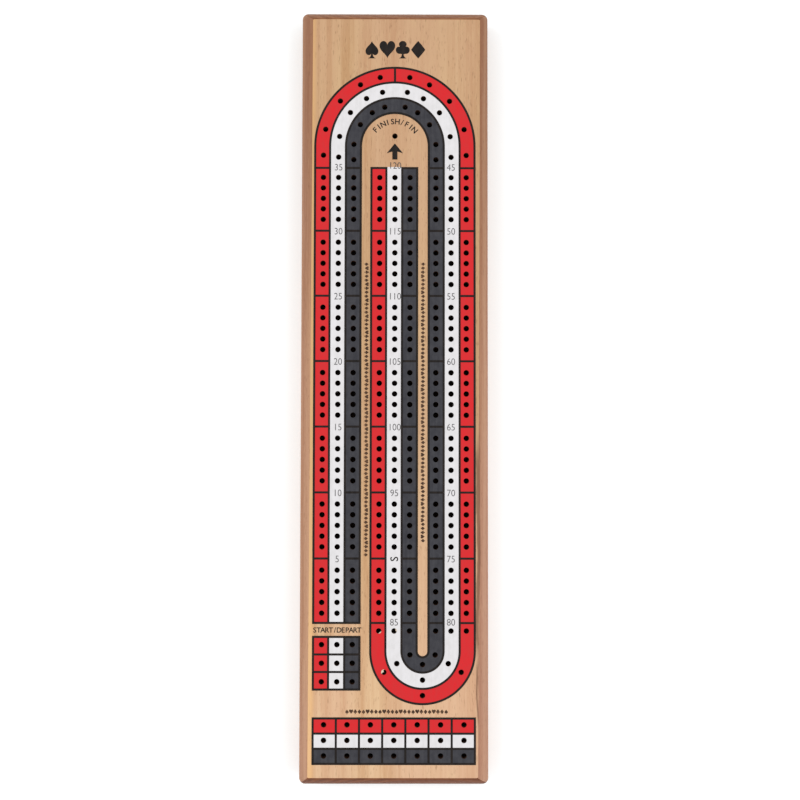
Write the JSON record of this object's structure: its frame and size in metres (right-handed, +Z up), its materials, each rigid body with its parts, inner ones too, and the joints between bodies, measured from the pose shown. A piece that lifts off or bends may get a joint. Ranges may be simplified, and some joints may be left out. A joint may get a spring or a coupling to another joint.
{
  "type": "cribbage board",
  "caption": "Wooden cribbage board with three printed lanes of peg holes, a games counter, and a sliding steel cover over a peg pocket.",
  "frame": {"origin": "centre of the board's underside, where it rests on a table", "axes": "+Z up out of the printed face; +Y along the board from the games counter towards the top bend; +X to the right when the start holes are at the lower left"},
  "size_m": [0.089, 0.3666, 0.0191],
  "materials": {
    "hardwood": "clear satin lacquer, fine straight grain along the length",
    "red_ink": "satin screen print",
    "white_ink": "satin screen print",
    "dark_grey_ink": "satin screen print",
    "black_ink": "satin screen print",
    "steel_plate": "rolled steel sheet, lightly brushed",
    "red_plastic": "moulded, glossy",
    "white_plastic": "moulded, glossy",
    "dark_plastic": "moulded, glossy"
  },
  "bodies": {
    "board": {"board": "hardwood", "red_lane_print": "red_ink", "white_lane_print": "white_ink", "dark_lane_print": "dark_grey_ink", "outline_print": "black_ink"},
    "storage_cover": {"storage_cover": "steel_plate"},
    "red_peg_1": {"red_peg_1": "red_plastic"},
    "red_peg_2": {"red_peg_2": "red_plastic"},
    "red_peg_3": {"red_peg_3": "red_plastic"},
    "white_peg_1": {"white_peg_1": "white_plastic"},
    "white_peg_2": {"white_peg_2": "white_plastic"},
    "white_peg_3": {"white_peg_3": "white_plastic"},
    "dark_peg_1": {"dark_peg_1": "dark_plastic"},
    "dark_peg_2": {"dark_peg_2": "dark_plastic"},
    "dark_peg_3": {"dark_peg_3": "dark_plastic"}
  },
  "joints": [
    {"name": "cover_slide", "type": "slide", "parent": "board", "child": "storage_cover", "axis": [0, 1, 0], "range_m": [0, 0.049]},
    {"name": "red_peg_1_slide", "type": "slide", "parent": "board", "child": "red_peg_1", "axis": [0, -1, 0], "range_m": [-0.011, 0]},
    {"name": "red_peg_2_slide", "type": "slide", "parent": "board", "child": "red_peg_2", "axis": [0, -1, 0], "range_m": [-0.0104, 0]},
    {"name": "red_peg_3_slide", "type": "slide", "parent": "board", "child": "red_peg_3", "axis": [0, -1, 0], "range_m": [-0.0098, 0]},
    {"name": "white_peg_1_slide", "type": "slide", "parent": "board", "child": "white_peg_1", "axis": [0, -1, 0], "range_m": [-0.011, 0]},
    {"name": "white_peg_2_slide", "type": "slide", "parent": "board", "child": "white_peg_2", "axis": [0, -1, 0], "range_m": [-0.0104, 0]},
    {"name": "white_peg_3_slide", "type": "slide", "parent": "board", "child": "white_peg_3", "axis": [0, -1, 0], "range_m": [-0.0098, 0]},
    {"name": "dark_peg_1_slide", "type": "slide", "parent": "board", "child": "dark_peg_1", "axis": [0, -1, 0], "range_m": [-0.011, 0]},
    {"name": "dark_peg_2_slide", "type": "slide", "parent": "board", "child": "dark_peg_2", "axis": [0, -1, 0], "range_m": [-0.0104, 0]},
    {"name": "dark_peg_3_slide", "type": "slide", "parent": "board", "child": "dark_peg_3", "axis": [0, -1, 0], "range_m": [-0.0098, 0]}
  ]
}
